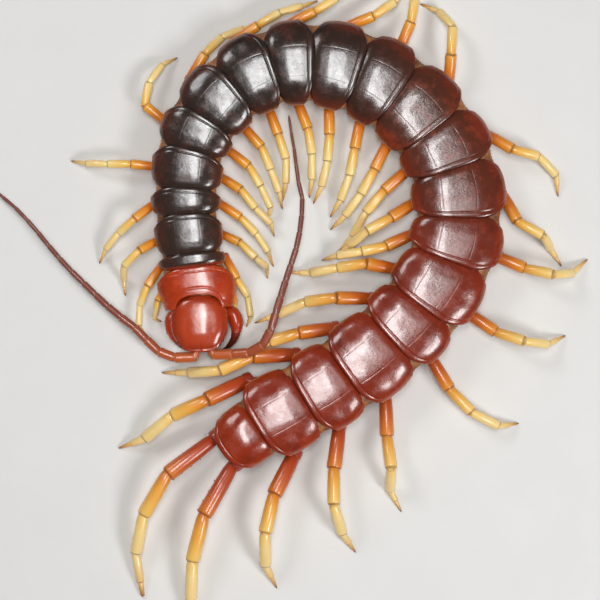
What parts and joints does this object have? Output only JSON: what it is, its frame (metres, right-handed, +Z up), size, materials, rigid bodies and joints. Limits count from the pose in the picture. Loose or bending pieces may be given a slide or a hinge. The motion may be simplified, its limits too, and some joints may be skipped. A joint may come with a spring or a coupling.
{
  "type": "giant centipede",
  "caption": "Giant centipede at life size, curled in a hook, with jointed legs along both sides, long antennae, poison claws and trailing last legs.",
  "frame": {"origin": "on the floor, under the middle of the animal's box in x and y", "axes": "+Z up from the floor; the animal is seen from above with its head low on the left (-X, -Y), its back arching over the +Y side and down the +X side, and its tail at the bottom; +Y is the longest extent"},
  "size_m": [0.1638, 0.1852, 0.0122],
  "materials": {
    "head_shell": "glossy orange-red cuticle",
    "front_shell": "glossy red cuticle of the first plate",
    "dark_shell": "glossy near-black brown cuticle",
    "red_shell": "glossy brick-red cuticle",
    "forcipule": "glossy red, dark at the fang",
    "antenna": "satin red-brown",
    "leg": "glossy, orange at the thigh to cream at the tibia",
    "terminal_leg": "glossy, red at the thigh to tan at the foot"
  },
  "bodies": {
    "root": {"leg_left_01": "leg", "leg_left_02": "leg", "leg_left_03": "leg", "leg_left_04": "leg", "leg_left_05": "leg", "leg_left_06": "leg", "leg_left_07": "leg", "leg_left_08": "leg", "leg_left_09": "leg", "leg_left_10": "leg", "leg_left_11": "leg", "leg_left_12": "leg", "leg_left_13": "leg", "leg_left_14": "leg", "leg_left_15": "leg", "leg_left_16": "leg", "leg_left_17": "leg", "leg_left_18": "leg", "leg_left_19": "leg", "leg_left_20": "leg", "leg_right_01": "leg", "leg_right_02": "leg", "leg_right_03": "leg", "leg_right_04": "leg", "leg_right_05": "leg", "leg_right_06": "leg", "leg_right_07": "leg", "leg_right_08": "leg", "leg_right_09": "leg", "leg_right_10": "leg", "leg_right_11": "leg", "leg_right_12": "leg", "leg_right_13": "leg", "leg_right_14": "leg", "leg_right_15": "leg", "leg_right_16": "leg", "leg_right_17": "leg", "leg_right_18": "leg", "leg_right_19": "leg", "leg_right_20": "leg", "trunk_01": "front_shell", "trunk_02_03": "dark_shell", "trunk_04_05": "dark_shell", "trunk_06_07": "dark_shell", "trunk_08_09": "dark_shell", "trunk_10_11": "dark_shell", "trunk_12_13": "red_shell", "trunk_14_15": "red_shell", "trunk_16_17": "red_shell", "trunk_18_19": "red_shell", "trunk_20": "red_shell", "trunk_21": "red_shell", "head": "head_shell", "leg_left_21": "terminal_leg", "forcipule_left": "forcipule", "antenna_left": "antenna", "leg_right_21": "terminal_leg", "forcipule_right": "forcipule", "antenna_right": "antenna"}
  },
  "joints": []
}
